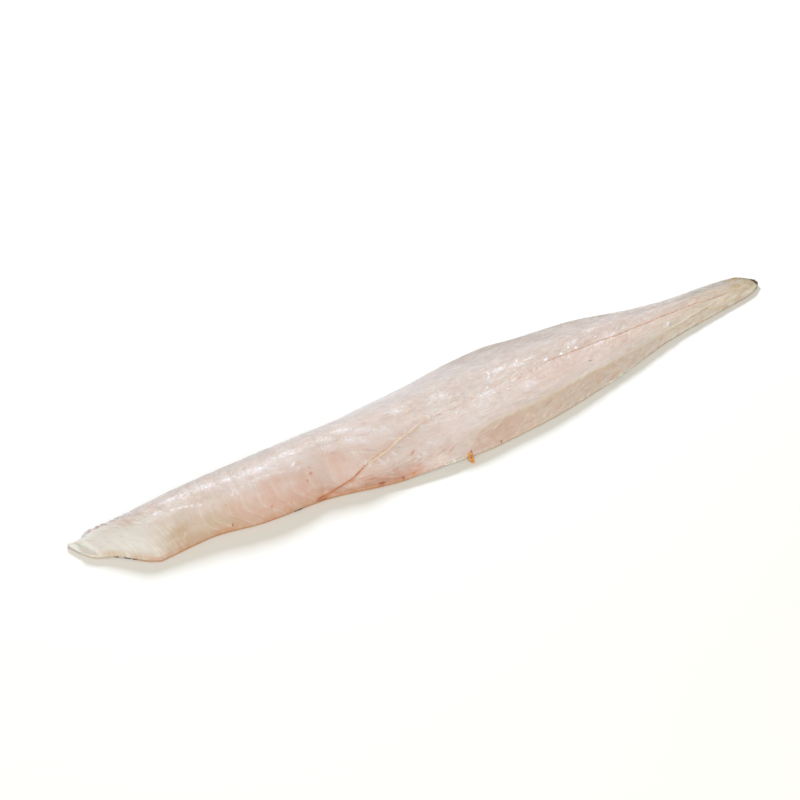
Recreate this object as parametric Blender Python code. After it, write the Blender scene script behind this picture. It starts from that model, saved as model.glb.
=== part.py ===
"""A hake fillet lying skin side down, with its flesh face up.

X runs from the head end to the tail, Y from the belly side to the back and Z up.
The sizes and outlines below are in millimetres, and the finished meshes in metres.
A place across the fillet is a fraction: 0 at the belly edge and 1 at the back edge.
"""

import bpy
import numpy as np
from mathutils import Vector, noise

MM = 0.001

# Driving sizes
LENGTH = 420.0
SKIN_THICKNESS = 0.8
SKIN_GAP = 0.3
FLESH_INSET = 0.7
EDGE_THICKNESS = 0.9

# Plan outline: (distance from the head tip, distance to the back side of the head tip's line).
# The head end is a slanting cut from the tip down to the corner at 34.
BACK_EDGE = (
    (0, 1.6), (2.5, 0.6), (5.5, 0.4), (8.5, 2.2), (11.5, 3.5), (15, 3.3), (20, 2.5), (28, 2.6),
    (40, 3.0), (90, 4.0), (130, 4.6), (165, 7.4), (200, 10.6), (230, 15.0), (252, 16.4),
    (275, 13.4), (305, 10.2), (345, 0.0), (365, -3.4), (395, -5.2), (411, -7.6), (420, -15.4),
)
BELLY_EDGE = (
    (0, 0.4), (3, -7.2), (8, -13.8), (16, -18.0), (30, -30.6), (34, -32.6), (39, -32.4),
    (60, -31.4), (90, -36.6), (120, -38.4), (165, -49.0), (205, -52.0), (245, -50.2),
    (300, -41.8), (350, -30.6), (385, -26.4), (412, -22.8), (420, -18.4),
)

# Lines that run the length of the fillet: (distance, fraction across) and (distance, height).
# The shoulder turns down to the belly edge. Behind the vent, at 205, it is a sharp ridge.
SHOULDER_PLACE = (
    (0, 0.2), (10, 0.13), (90, 0.093), (128, 0.056), (160, 0.108), (205, 0.11), (275, 0.121),
    (420, 0.12),
)
SHOULDER_HEIGHT = (
    (0, 2.4), (6, 4.2), (34, 6.6), (60, 9.0), (95, 9.4), (118, 8.2), (132, 4.6), (165, 5.4),
    (188, 6.6), (204, 9.6), (245, 10.4), (305, 7.9), (345, 5.4), (385, 3.7), (420, 2.2),
)
# A line on the side face below the shoulder, as shares of the shoulder's place and height.
# It is rounded along the loin and hollow at the belly flap, and turns sharply behind the vent.
FACE_PLACE = ((0, 0.62), (130, 0.62), (205, 0.8), (420, 0.8))
FACE_HEIGHT = (
    (0, 0.8), (34, 0.76), (112, 0.76), (135, 0.6), (190, 0.7), (210, 0.88), (305, 0.88),
    (420, 0.86),
)
# The backbone line. It starts at the belly edge at 118, where the belly flap begins.
BACKBONE_PLACE = (
    (0, 0.4), (34, 0.29), (90, 0.2), (130, 0.1), (142, 0.125), (160, 0.26), (180, 0.35),
    (205, 0.398), (275, 0.44), (345, 0.41), (420, 0.42),
)
BACKBONE_HEIGHT = (
    (0, 2.9), (10, 6.6), (34, 11.6), (60, 14.0), (95, 14.2), (118, 10.6), (130, 6.6),
    (142, 9.2), (160, 12.8), (190, 15.2), (245, 13.2), (305, 10.5), (345, 8.2), (385, 5.6),
    (410, 3.6), (420, 2.3),
)
# The crest is the thickest line of the loin.
CREST_PLACE = (
    (0, 0.6), (34, 0.6), (62, 0.4), (90, 0.385), (130, 0.46), (180, 0.556), (275, 0.56),
    (420, 0.56),
)
CREST_HEIGHT = (
    (0, 3.1), (10, 8.0), (34, 14.6), (60, 17.2), (110, 19.0), (160, 19.4), (205, 17.2),
    (245, 13.6), (305, 10.4), (345, 8.1), (385, 5.5), (410, 3.6), (420, 2.3),
)
# The back slope falls from here to the back edge, steeply at the loin and gently at the tail.
BACK_PLACE = (
    (0, 0.8), (34, 0.86), (120, 0.88), (160, 0.87), (205, 0.85), (245, 0.8), (305, 0.8),
    (420, 0.82),
)
BACK_HEIGHT = (
    (0, 2.7), (10, 5.6), (34, 10.2), (60, 12.2), (120, 13.2), (160, 12.0), (205, 10.4),
    (245, 8.4), (305, 7.0), (345, 5.6), (385, 4.2), (420, 2.1),
)

# The underside is flat in the middle, and lifts off the table towards both edges.
FLAT_FROM = 0.24
FLAT_TO = 0.72
BELLY_LIFT = (
    (0, 0.5), (34, 0.5), (90, 0.6), (130, 0.7), (170, 1.6), (190, 2.2), (202, 1.4), (215, 0.5),
    (420, 0.3),
)
BACK_LIFT = ((0, 0.8), (34, 2.2), (90, 3.4), (165, 3.2), (250, 1.8), (345, 1.2), (420, 0.5))

# Muscle flakes: shallow steps across the fillet. Their ends swing towards the tail, sharply
# below the shoulder and gently down the back slope.
# Each flake has three rings: (share of the pitch, share of the depth).
FLAKE_PITCH = 9.6
FLAKE_DEPTH = 0.45
FLAKE_RINGS = ((0.0, 1.0), (0.16, 0.1), (0.62, 0.0))
FLAKES_FROM = 46.0
FLAKES_TO = 398.0
BELLY_BOW = 10.0
BELLY_BOW_FROM = 0.12
BACK_BOW = 9.0
BOW_POWER = 1.7

# Relief along the fillet
GROOVE_DEPTH = 0.55
GROOVE_HALF_WIDTH = 0.02
UNEVEN_HEIGHT = 0.45
UNEVEN_LENGTH = 17.0
UNEVEN_WIDTH = 0.33
UNEVEN_SLICE = 0.37

# The torn tag of membrane at the vent
TAG_AT = 200.5
TAG_REACH = 3.0
TAG_HALF_WIDTH = 2.4
TAG_EDGE_SHARE = 0.05

# Rings of points, head to tail, where no flake sets them, and columns across.
# Between two neighbouring long lines the columns crowd towards the first by the second number.
HEAD_RINGS = (0, 1.2, 3, 5.5, 8, 11, 14.5, 18, 22, 26, 30, 34, 38, 42)
TAG_RING = TAG_AT - BELLY_BOW
TAG_RINGS = (TAG_RING - 1.8, TAG_RING, TAG_RING + 1.8)
TAIL_RINGS = (403, 408, 412, 415.5, 418, 419.4, 420)
NEAREST_RINGS = 1.2
SHARP_ANGLE = np.radians(50)
TOP_COLUMNS = ((4, 1.0), (4, 1.6), (4, 1.0), (6, 1.0), (4, 1.0))
UNDER_COLUMNS = (0.93, 0.86, 0.79, FLAT_TO, 0.5, FLAT_FROM, 0.16, 0.08)


def clear_scene():
    for old in list(bpy.data.objects):
        bpy.data.objects.remove(old, do_unlink=True)


def cubic(places, values, at):
    """A cubic through (places, values) that never overshoots them.

    Each row of places and values is one curve, read at one element of at.
    """
    at = np.asarray(at, float).reshape(-1)
    places = np.broadcast_to(np.asarray(places, float), (at.size, np.shape(places)[-1]))
    values = np.broadcast_to(np.asarray(values, float), places.shape)
    gaps = np.diff(places)
    slopes = np.diff(values) / gaps
    left, right = slopes[:, :-1], slopes[:, 1:]
    left_weight = 2 * gaps[:, 1:] + gaps[:, :-1]
    right_weight = gaps[:, 1:] + 2 * gaps[:, :-1]
    turning = left * right <= 0
    safe_left = np.where(turning, 1.0, left)
    safe_right = np.where(turning, 1.0, right)
    mean = (left_weight + right_weight) / (left_weight / safe_left + right_weight / safe_right)
    inner = np.where(turning, 0.0, mean)
    tangents = np.concatenate([slopes[:, :1], inner, slopes[:, -1:]], axis=1)
    span = np.clip((places <= at[:, None]).sum(axis=1) - 1, 0, gaps.shape[1] - 1)
    row = np.arange(at.size)
    gap = gaps[row, span]
    t = np.clip((at - places[row, span]) / gap, 0, 1)
    start, end = values[row, span], values[row, span + 1]
    start_slope, end_slope = tangents[row, span] * gap, tangents[row, span + 1] * gap
    return (
        start * (1 + 2 * t) * (1 - t) ** 2
        + start_slope * t * (1 - t) ** 2
        + end * t * t * (3 - 2 * t)
        - end_slope * t * t * (1 - t)
    )


def line(knots, at):
    """One smooth curve through (distance, value) knots."""
    places, values = np.array(knots, float).T
    return cubic(places, values, at)


def ramp(start, end, at):
    """0 before start and 1 after end, with a smooth rise between."""
    t = np.clip((np.asarray(at, float) - start) / (end - start), 0, 1)
    return t * t * (3 - 2 * t)


def tag_bump(x):
    """1 at the vent tag, 0 away from it."""
    return np.clip(1 - np.abs(x - TAG_AT) / TAG_HALF_WIDTH, 0, 1)


def edges(x, inset):
    """The belly and back edges at x, moved inwards by inset."""
    return line(BELLY_EDGE, x) + inset, line(BACK_EDGE, x) - inset


def underside(x, across):
    """Height of the skin's outer face above the table."""
    belly = np.clip((FLAT_FROM - across) / FLAT_FROM, 0, 2) ** 2 * line(BELLY_LIFT, x)
    back = np.clip((across - FLAT_TO) / (1 - FLAT_TO), 0, 2) ** 2 * line(BACK_LIFT, x)
    return belly + back


def flesh_underside(x, across):
    return underside(x, across) + SKIN_THICKNESS + SKIN_GAP


def section(x, across):
    """Height of the smooth flesh face: a cubic through the lines that cross each section."""
    zero, one = np.zeros_like(x), np.ones_like(x)
    shoulder = line(SHOULDER_PLACE, x)
    edge = flesh_underside(x, zero) + EDGE_THICKNESS
    face = edge + (line(SHOULDER_HEIGHT, x) - edge) * line(FACE_HEIGHT, x)
    places = [
        zero,
        shoulder * line(FACE_PLACE, x),
        shoulder,
        line(BACKBONE_PLACE, x),
        line(CREST_PLACE, x),
        line(BACK_PLACE, x),
        one,
    ]
    heights = [
        edge,
        face,
        line(SHOULDER_HEIGHT, x),
        line(BACKBONE_HEIGHT, x),
        line(CREST_HEIGHT, x),
        line(BACK_HEIGHT, x),
        flesh_underside(x, one) + EDGE_THICKNESS,
    ]
    return cubic(np.stack(places, axis=1), np.stack(heights, axis=1), across)


def bow(station, across):
    """How far a muscle flake has swung towards the tail at this place across."""
    crest = line(CREST_PLACE, station)
    belly_side = np.clip(1 - across / BELLY_BOW_FROM, 0, 1) ** BOW_POWER * BELLY_BOW
    back_side = np.clip((across - crest) / (1 - crest), 0, 1) ** BOW_POWER * BACK_BOW
    strength = ramp(40, 80, station) * (1 - ramp(355, 404, station))
    return (belly_side + back_side) * strength


def relief(x, across, flake):
    """What the smooth face leaves out: flakes, the backbone groove and an uneven surface."""
    inside = ramp(0, 0.09, across) * (1 - ramp(0.86, 1, across))
    fading = (1 - 0.6 * ramp(0.55, 0.8, across)) * (1 - 0.5 * ramp(230, 300, x))
    flakes = -FLAKE_DEPTH * flake * fading
    from_groove = (across - line(BACKBONE_PLACE, x)) / GROOVE_HALF_WIDTH
    groove = -GROOVE_DEPTH * np.exp(-from_groove ** 2) * ramp(200, 235, x) * (1 - ramp(385, 410, x))
    spots = zip(x / UNEVEN_LENGTH, across / UNEVEN_WIDTH)
    uneven = UNEVEN_HEIGHT * np.array([noise.noise(Vector((u, v, UNEVEN_SLICE))) for u, v in spots])
    uneven = uneven * ramp(0, 30, x) * (1 - ramp(385, LENGTH, x))
    return (flakes + uneven) * inside + groove


def stations():
    """The rings from head to tail, as (distance, flake step) pairs."""
    rings = [(distance, 0.0) for distance in HEAD_RINGS + TAG_RINGS + TAIL_RINGS]
    for number in range(round((FLAKES_TO - FLAKES_FROM) / FLAKE_PITCH)):
        for phase, step in FLAKE_RINGS:
            distance = FLAKES_FROM + (number + phase) * FLAKE_PITCH
            if min(abs(distance - tag_ring) for tag_ring in TAG_RINGS) > NEAREST_RINGS:
                rings.append((distance, step))
    return sorted(rings)


def column_places(x):
    """Places across the flesh face at x, with a column on each long line."""
    long_lines = [SHOULDER_PLACE, BACKBONE_PLACE, CREST_PLACE, BACK_PLACE]
    knots = [0.0] + [line(place, x)[0] for place in long_lines] + [1.0]
    columns = [knots[:1]]
    for start, end, (count, crowding) in zip(knots, knots[1:], TOP_COLUMNS):
        steps = (np.arange(1, count + 1) / count) ** crowding
        columns.append(start + (end - start) * steps)
    return np.concatenate(columns)


def tube(name, rings, material):
    """A closed mesh from rings of points in millimetres, with a flat cap on each end."""
    count, around = rings.shape[:2]
    mesh = bpy.data.meshes.new(name)
    faces = []
    for start in range(0, (count - 1) * around, around):
        for side in range(around):
            after = (side + 1) % around
            here, there = start + side, start + after
            faces.append((here, there, there + around, here + around))
    faces.append(tuple(range(around - 1, -1, -1)))
    faces.append(tuple(range((count - 1) * around, count * around)))
    mesh.from_pydata((rings.reshape(-1, 3) * MM).tolist(), [], faces)
    mesh.materials.append(material)
    mesh.shade_smooth()
    mesh.set_sharp_from_angle(angle=SHARP_ANGLE)
    piece = bpy.data.objects.new(name, mesh)
    bpy.context.collection.objects.link(piece)
    return piece


def flesh_rings():
    """The flesh: its relief face from belly to back, then its underside back to the belly."""
    rings = []
    for station, flake in stations():
        reach = FLESH_INSET + station * (1 - 2 * FLESH_INSET / LENGTH)
        top = column_places(reach)
        x = reach + bow(np.full(top.size, reach), top)
        belly, back = edges(x, FLESH_INSET)
        y = belly + top * (back - belly)
        y = y - TAG_REACH * tag_bump(x) * np.clip(1 - top / TAG_EDGE_SHARE, 0, 1)
        z = section(x, top) + relief(x, top, flake)
        face = np.stack([x, y, z], axis=1)
        under = np.array((1.0,) + UNDER_COLUMNS + (0.0,))
        x = reach + bow(np.full(under.size, reach), under)
        belly, back = edges(x, FLESH_INSET)
        y = belly + under * (back - belly)
        base = np.stack([x, y, flesh_underside(x, under)], axis=1)
        rings.append(np.concatenate([face, base])[::-1])
    return np.array(rings)


def skin_rings():
    """The skin: a thin sheet under the flesh that reaches just past it all round."""
    inner = np.array(UNDER_COLUMNS)
    rings = []
    for station, _ in stations()[::2] + stations()[-1:]:
        places = np.concatenate([[1.0], inner, [0.0]])
        x = station + bow(np.full(places.size, station), places)
        belly, back = edges(x, 0.0)
        y = belly + places * (back - belly)
        outer = underside(x, places)
        lower = np.stack([x, y, outer], axis=1)
        upper = np.stack([x, y, outer + SKIN_THICKNESS], axis=1)
        rings.append(np.concatenate([upper[::-1], lower])[::-1])
    return np.array(rings)


def wet_material(name, colour, roughness):
    material = bpy.data.materials.new(name)
    material.use_nodes = True
    shader = material.node_tree.nodes["Principled BSDF"]
    shader.inputs["Base Color"].default_value = (*colour, 1.0)
    shader.inputs["Roughness"].default_value = roughness
    shader.inputs["Metallic"].default_value = 0.0
    return material


def centre_on_table(*ring_sets):
    """Moves the rings so that the whole stands on the origin, centred in plan."""
    points = np.concatenate([rings.reshape(-1, 3) for rings in ring_sets])
    low, high = points.min(axis=0), points.max(axis=0)
    origin = np.array([(low[0] + high[0]) / 2, (low[1] + high[1]) / 2, low[2]])
    return [rings - origin for rings in ring_sets]


def main():
    clear_scene()
    flesh, skin = centre_on_table(flesh_rings(), skin_rings())
    tube("flesh", flesh, wet_material("hake_flesh", (0.71, 0.58, 0.50), 0.3))
    tube("skin", skin, wet_material("hake_skin", (0.16, 0.12, 0.10), 0.35))


main()
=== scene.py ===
"""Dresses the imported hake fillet: a fine flesh surface, its scaled skin and the small bits on them.

Distances are in millimetres from the head tip until a mesh is made.
A place across the fillet is a fraction: 0 at the belly edge and 1 at the back edge.
"""

import bpy
import numpy as np
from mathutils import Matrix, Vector, noise


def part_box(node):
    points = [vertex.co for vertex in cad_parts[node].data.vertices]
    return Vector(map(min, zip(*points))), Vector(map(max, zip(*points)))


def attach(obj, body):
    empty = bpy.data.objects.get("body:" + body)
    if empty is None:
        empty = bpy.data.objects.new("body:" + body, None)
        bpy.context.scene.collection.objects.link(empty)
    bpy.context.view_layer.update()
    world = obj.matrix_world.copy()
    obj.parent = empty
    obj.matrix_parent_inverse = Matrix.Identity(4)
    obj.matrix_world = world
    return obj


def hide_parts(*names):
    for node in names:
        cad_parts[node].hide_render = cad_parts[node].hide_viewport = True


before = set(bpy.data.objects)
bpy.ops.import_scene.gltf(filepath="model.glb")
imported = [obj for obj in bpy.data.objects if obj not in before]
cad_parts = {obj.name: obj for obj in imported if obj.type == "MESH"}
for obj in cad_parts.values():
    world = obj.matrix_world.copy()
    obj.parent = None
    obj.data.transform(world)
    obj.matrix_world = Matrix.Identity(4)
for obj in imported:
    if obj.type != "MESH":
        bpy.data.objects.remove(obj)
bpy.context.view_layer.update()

# Metres in a millimetre
MM = 0.001
# The fillet, in millimetres
LENGTH = 420.0
SKIN_THICKNESS = 0.6
FLESH_INSET = 0.15
EDGE_THICKNESS = 2.0

# Outline and long lines of the fillet, the same as the solids'.
BACK_EDGE = (
    (0, 1.6), (2.5, 0.6), (5.5, 0.4), (8.5, 2.2), (11.5, 3.5), (15, 3.3), (20, 2.5), (28, 2.6),
    (40, 3.0), (90, 4.0), (130, 4.6), (165, 7.4), (200, 10.6), (230, 15.0), (252, 16.4),
    (275, 13.4), (305, 10.2), (345, 0.0), (365, -3.4), (395, -5.2), (411, -7.6), (420, -15.4),
)
BELLY_EDGE = (
    (0, 0.4), (3, -7.2), (8, -13.8), (16, -18.0), (30, -30.6), (34, -32.6), (39, -32.4),
    (60, -31.4), (90, -36.6), (120, -38.4), (165, -49.0), (205, -52.0), (245, -50.2),
    (300, -41.8), (350, -30.6), (385, -26.4), (412, -22.8), (420, -18.4),
)
SHOULDER_PLACE = (
    (0, 0.2), (10, 0.13), (90, 0.093), (128, 0.056), (160, 0.108), (205, 0.11), (225, 0.128),
    (244, 0.119), (286, 0.12), (310, 0.106), (335, 0.082), (420, 0.08),
)
SHOULDER_HEIGHT = (
    (0, 2.4), (6, 4.2), (34, 6.6), (60, 9.0), (95, 9.4), (118, 8.2), (132, 4.6), (165, 5.4),
    (188, 6.6), (204, 9.6), (245, 10.4), (305, 7.9), (345, 5.4), (385, 3.7), (420, 2.2),
)
FACE_PLACE = ((0, 0.62), (130, 0.62), (205, 0.8), (420, 0.8))
FACE_HEIGHT = (
    (0, 0.8), (34, 0.76), (112, 0.76), (135, 0.6), (190, 0.7), (210, 0.88), (305, 0.88),
    (420, 0.86),
)
BACKBONE_PLACE = (
    (0, 0.4), (34, 0.29), (90, 0.2), (130, 0.1), (142, 0.125), (160, 0.26), (180, 0.35),
    (205, 0.398), (275, 0.44), (345, 0.41), (420, 0.42),
)
BACKBONE_HEIGHT = (
    (0, 2.9), (10, 6.6), (34, 11.6), (60, 14.0), (95, 14.2), (118, 10.6), (130, 6.6),
    (142, 9.2), (160, 12.8), (190, 15.2), (245, 13.2), (305, 10.5), (345, 8.2), (385, 5.6),
    (410, 3.6), (420, 2.3),
)
CREST_PLACE = (
    (0, 0.6), (34, 0.6), (62, 0.4), (90, 0.385), (130, 0.46), (180, 0.556), (275, 0.56),
    (420, 0.56),
)
CREST_HEIGHT = (
    (0, 3.1), (10, 8.0), (34, 14.6), (60, 17.2), (110, 19.0), (160, 19.4), (205, 17.2),
    (245, 13.6), (305, 10.4), (345, 8.1), (385, 5.5), (410, 3.6), (420, 2.3),
)
BACK_PLACE = (
    (0, 0.8), (34, 0.86), (120, 0.88), (160, 0.87), (205, 0.85), (245, 0.8), (305, 0.8),
    (420, 0.82),
)
BACK_HEIGHT = (
    (0, 2.7), (10, 5.6), (34, 10.2), (60, 12.2), (120, 13.2), (160, 12.0), (205, 10.4),
    (245, 8.4), (305, 7.0), (345, 5.6), (385, 4.2), (420, 2.1),
)
# The fractions across between which the skin lies flat
FLAT_FROM = 0.24
FLAT_TO = 0.72
# How high each edge lifts off the table
BELLY_LIFT = (
    (0, 0.5), (34, 0.5), (90, 0.6), (130, 0.7), (170, 1.6), (190, 2.2), (202, 1.4), (215, 0.5),
    (420, 0.3),
)
BACK_LIFT = ((0, 0.8), (34, 2.2), (90, 3.4), (165, 3.2), (250, 1.8), (345, 1.2), (420, 0.5))

# The thin line that is seen along the backbone, a little beside the solid's own line.
THREAD = (
    (0, 0.0), (118, 0.0), (125, 0.018), (131, 0.057), (137, 0.087), (143, 0.13), (148, 0.172),
    (156, 0.225), (162, 0.257), (170, 0.307), (178.5, 0.337), (187.5, 0.376), (197, 0.387),
    (207, 0.387), (224, 0.408), (246, 0.421), (259.5, 0.405), (270, 0.433), (291, 0.424),
    (306, 0.414), (316, 0.385), (327, 0.394), (341, 0.384), (356, 0.404), (371, 0.414),
    (380, 0.355), (407, 0.345), (420, 0.345),
)
# The pale line where the upper face turns down to the belly side, tailward of the vent.
RIDGE = (
    (0, 0.0), (198, 0.02), (202, 0.056), (207, 0.088), (211, 0.111), (225, 0.123), (244, 0.112),
    (286, 0.119), (310, 0.106), (324, 0.080), (345, 0.090), (365, 0.14), (395, 0.26), (420, 0.34),
)

# Half thickness of the raised thread along the backbone
THREAD_RADIUS = (
    (117, 0.3), (123, 0.48), (145, 0.44), (153, 0.62), (166, 0.56), (176, 0.36), (210, 0.32),
    (262, 0.26), (300, 0.32), (380, 0.28), (404, 0.14),
)

# Muscle flakes, and how far their fibres slant at the head end
BELLY_BOW = 10.0
BELLY_BOW_FROM = 0.12
BACK_BOW = 9.0
BOW_POWER = 1.7
SEEN_SEPTA = (60.0, 65.0, 73.0, 81.0, 89.0, 98.0, 107.0, 117.0, 129.0)
FLAKE_PITCH = 9.6
SEPTUM_HALF_WIDTH = 0.6
SEPTUM_DEPTH = 0.16
FLAKE_SWELL = 0.26
FIBRE_SLANT = 0.5
# The pale rim behind the thin band at the head end's cut: its distance at the back, and its slant.
HEAD_RIM_START = 3.7
HEAD_RIM_SLANT = 6.2
HEAD_RIM_POWER = 1.2
HEAD_RIM_SPREAD = 0.5
# Steps across over which the smooth face is averaged, wide over the loin and narrow at the ridge.
ROUNDING_STEPS = (-0.07, -0.045, -0.02, 0.0, 0.02, 0.045, 0.07)
RIDGE_STEPS = (-0.036, -0.024, -0.012, 0.0, 0.012, 0.024, 0.036)

# Zones of the fillet. Each row says where the zone starts, is full, starts to fade and ends
# along the fillet in millimetres, then the same across it as fractions, and last how strong it
# is where that isn't 1. OFF and ON are limits beyond the fillet.
OFF = (-99, -98)
ON = (998, 999)
ALL = (*OFF, *ON)
ZONES = {
    "bowed flakes": (40, 80, 355, 404, *ALL),
    "clear septa": (52, 60, 126, 140, *OFF, 0.20, 0.36),
    "faint septa": (52, 60, 380, 400, 0.02, 0.1, 0.85, 1.0, 0.10),
    "upright fibres": (28, 64, *ON, *ALL),
    "rosy": (28, 64, *ON, *ALL),
    "plain": (175, 250, *ON, *ALL),
    "grey": (330, 400, *ON, *ALL),
    "far": (6, 30, *ON, 0.36, 0.62, *ON),
    "beyond thread": (230, 270, *ON, 0.38, 0.54, *ON),
    "outer": (2, 14, *ON, 0.56, 0.84, *ON),
    "crest": (46, 70, 140, 178, *ALL),
    "hem": (32, 56, 108, 130, *OFF, 0.0, 0.07),
    "low": (24, 46, 68, 104, *OFF, 0.02, 0.32),
    "head hem": (8, 13, 28, 38, *OFF, 0.0, 0.12, 0.8),
    "corner": (36, 44, 50, 58, *OFF, 0.12, 0.34),
    "above corner": (28, 42, 54, 74, *OFF, 0.3, 0.62, 0.4),
    "pink": (230, 262, 360, 390, *ALL, 0.8),
    "flank": (60, 100, 134, 144, *OFF, 0.04, 0.22),
    "flap": (112, 127, 158, 200, *OFF, 0.04, 0.20),
    "bruise": (94, 112, 146, 170, *OFF, 0.12, 0.40, 0.45),
    "seam": (118, 130, 160, 200, *ALL, 0.5),
    "vent": (197, 206, 222, 250, *ALL, 0.45),
    "deep": (104, 122, 160, 178, *OFF, 0.0, 0.07, 0.9),
    "crisp ridge": (205, 250, *ON, *ALL),
    "tan": (197, 232, 298, 345, *ALL),
    "tail low": (318, 350, *ON, *OFF, 0.22, 0.42),
    "tail tan": (340, 392, *ON, 0.0, 0.25, 0.5, 0.85, 0.6),
    "below ridge": (330, 350, 396, 410, *ALL, 0.4),
    "back rim": (150, 200, *ON, 0.92, 1.0, *ON, 0.6),
    "tail edge": (350, 392, *ON, 0.55, 0.85, *ON),
    "ochre": (396, 408, *ON, *ALL),
    "bare end": (*OFF, 402, 411, 0.45, 0.8, *ON, 0.8),
    "ochre across": (*ALL, 0.08, 0.35, *ON),
    "end specks": (407, 412, *ON, 0.9, 0.98, *ON),
    "end": (417.0, 418.2, *ON, *ALL),
    "head rim": (*ALL, 0.04, 0.12, *ON),
    "lilac": (90, 124, 185, 240, 0.60, 0.9, *ON),
    "purple": (6, 10, 24, 34, 0.66, 0.84, *ON, 1.5),
    "pale start": (158, 164, 180, 192, *ALL),
    "pale middle": (186, 196, 240, 262, *ALL, 0.7),
    "pale tailward": (250, 266, 388, 405, *ALL, 0.4),
    "pale raised": (146, 152, 166, 176, *ALL, 0.8),
    "orange start": (117, 122, 160, 168, *ALL),
    "orange middle": (180, 196, 240, 262, *ALL, 0.5),
    "orange beside": (150, 165, 380, 400, *ALL, 0.16),
    "orange tailward": (262, 300, 392, 408, *ALL, 0.45),
    "ridge": (197, 204, 385, 408, *ALL),
    "bright ridge": (322, 345, *ON, *ALL, 0.6),
    "lower line": (18, 30, 162, 175, *OFF, 0.004, 0.024),
    "slanted": (196, 204, *ON, *ALL),
    "slanted flap": (124, 140, 190, 204, *OFF, 0.12, 0.24),
    "strands": (8, 16, 38, 54, *OFF, 0.5, 0.75),
    "arcs": (0, 20, 118, 150, *OFF, 0.34, 0.5),
    "wet crest": (25, 45, 190, 230, 0.28, 0.42, 0.7, 0.95),
    "wet thread": (150, 175, 290, 330, *ALL),
    "inside": (*ALL, 0, 0.05, 0.93, 1),
    "shaped": (*ALL, *OFF, 0.9, 0.97),
    "shaped ridge": (190, 206, *ON, 0.0, 0.05, 0.9, 0.97),
    "round loin": (*OFF, 120, 190, *ALL),
    "round": (*ALL, 0.0, 0.08, 0.9, 0.97),
    "flakes": (46, 62, 370, 400, *ALL),
    "fainter back": (*ALL, 0.55, 0.8, *ON, 0.5),
    "fainter tail": (150, 260, *ON, *ALL, 0.5),
    "lumps": (0, 20, 395, LENGTH, *ALL),
    "wrinkles": (6, 12, 26, 36, 0.6, 0.8, *ON),
    "step": (120, 130, 160, 176, *ALL),
    "groove": (200, 235, 385, 410, *ALL),
    "thread dips": (168, 182, 250, 266, *ALL),
    "light thread": (143, 152, 236, 262, *ALL, 0.9),
    "light tail thread": (250, 270, *ON, *ALL, 0.38),
    "belly rim": (*ALL, *OFF, 0.0, 0.016),
    "outer rim": (*ALL, 0.99, 1.0, *ON),
    "rust edge": (20, 27, 160, 172, *OFF, 0.4, 0.6),
    "head specks": (15, 16.5, 23, 24.5, *ALL),
    "belly specks": (103, 104.5, 109, 110.5, *ALL),
    "tail specks": (408, 413, *ON, 0.4, 0.7, *ON),
    "tip specks": (416, 418, *ON, *ALL),
    "lateral": (20, 60, 380, 415, *ALL, 0.5),
    "headward": (*OFF, 22, 84, *ALL),
}
# Bands beside the thread, in millimetres towards the back from it: the middle and the spread.
BESIDE_THREAD = {
    "seam": (0, 3.2), "pale raised": (0.8, 0.5), "orange beside": (-0.7, 0.6),
    "orange tailward": (0.5, 0.3), "wet thread": (0, 7), "step": (0, 5), "groove": (0, 1.3),
}
# How patchy a zone is: its mean, and the share that comes and goes.
PATCHES = {
    "rosy": (0.85, 0.4), "plain": (0.9, 0.4), "crest": (0.9, 0.4), "tail tan": (0.9, 0.5),
    "lilac": (0.6, 1.0),
}
# Pink spots: distance, fraction across, half length, half width as a fraction, strength.
PINK_SPOTS = (
    (98, 0.2, 8, 0.10, 1.0), (116, 0.15, 7, 0.09, 1.0), (76, 0.16, 6, 0.08, 1.0),
    (136, 0.3, 10, 0.12, 0.9),
)
# The middle and the spread of bands, as fractions across
PINK_BAND = (0.31, 0.12)
CREST_BAND = (0.03, 0.11)
LATERAL_BAND = (0.56, 0.010)
RIDGE_SPREAD = 0.011
# How far the borders of zones wander, in millimetres along and as fractions across.
WANDER_LARGE = 12
WANDER_SMALL = 5
WANDER_ACROSS = 0.05
WANDER_FAR = 0.07
# Breaks in the thread: their length in millimetres, and the slice of noise that places them.
BREAK_LENGTH = 3.2
BREAK_SLICE = 2.2

# Height of each kind of relief on the face, in millimetres
RELIEF = {
    "large lumps": 0.40, "small lumps": 0.16, "fine lumps": 0.05, "strands": 0.14,
    "glints": 0.10, "wrinkles": 0.6, "step": 0.35, "groove": -0.2, "thread": 0.28,
    "ridge": 0.12, "head rim": 0.15,
}
MARK_RELIEF = {"pale": 0.3, "painted_glint_smear": 0.2, "cream": 0.15, "blood": -0.2}

# Mesh fineness, and the angle from which an edge is shaded as a crease
SHARP_ANGLE = np.radians(48)
RINGS = 700
FACE_COLUMNS = 16
TOP_COLUMNS = 90
UNDER_COLUMNS = 12
SKIN_RINGS = 640
SKIN_COLUMNS = 100
INNER_COLUMNS = 12

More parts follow.
